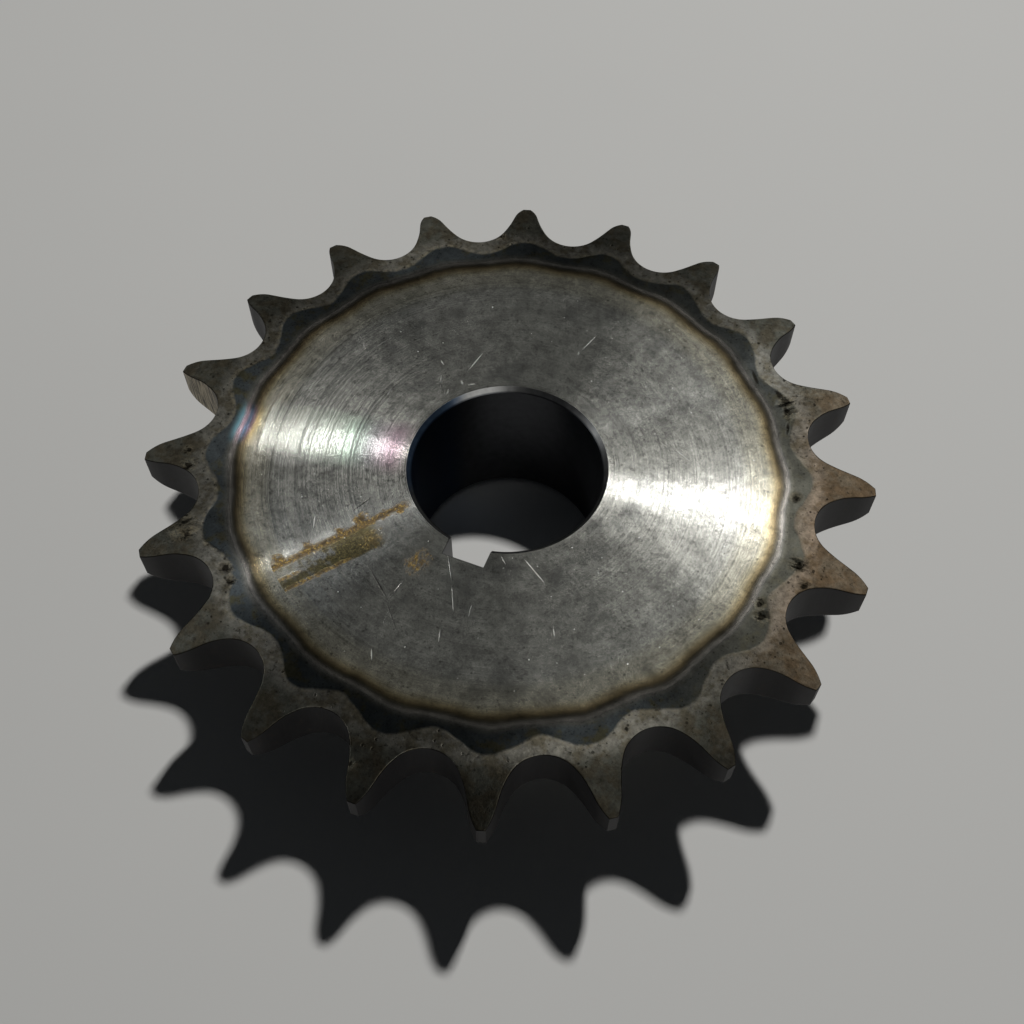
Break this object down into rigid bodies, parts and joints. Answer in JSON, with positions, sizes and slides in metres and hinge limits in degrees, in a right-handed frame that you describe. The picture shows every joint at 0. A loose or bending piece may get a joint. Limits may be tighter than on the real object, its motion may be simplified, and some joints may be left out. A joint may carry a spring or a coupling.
{
  "type": "roller chain sprocket",
  "caption": "Roller chain sprocket with a hub on one side, a plain keyed bore, hardened teeth and set screws that clamp it to a shaft.",
  "frame": {"origin": "centre of the hub's end face, on the bore axis", "axes": "+Z along the bore axis from the hub's end to the flat face; the keyway is centred on -Y, under the middle of a tooth"},
  "size_m": [0.1098, 0.1098, 0.0254],
  "materials": {
    "plate_steel": "turned satin face, heat-tinted and scaled towards the teeth",
    "hub_steel": "turned satin",
    "weld_metal": "as welded, rippled and tinted",
    "black_screw": "black oxide"
  },
  "bodies": {
    "sprocket": {"toothed_plate": "plate_steel", "hub": "hub_steel", "weld_bead": "weld_metal"},
    "key_screw": {"set_screw_key": "black_screw"},
    "side_screw": {"set_screw_side": "black_screw"}
  },
  "joints": [
    {"name": "key_screw_travel", "type": "slide", "parent": "sprocket", "child": "key_screw", "axis": [0, -1, 0], "range_m": [-0.00564, 0.01129]},
    {"name": "side_screw_travel", "type": "slide", "parent": "sprocket", "child": "side_screw", "axis": [1, 0, 0], "range_m": [-0.00847, 0.01129]}
  ]
}
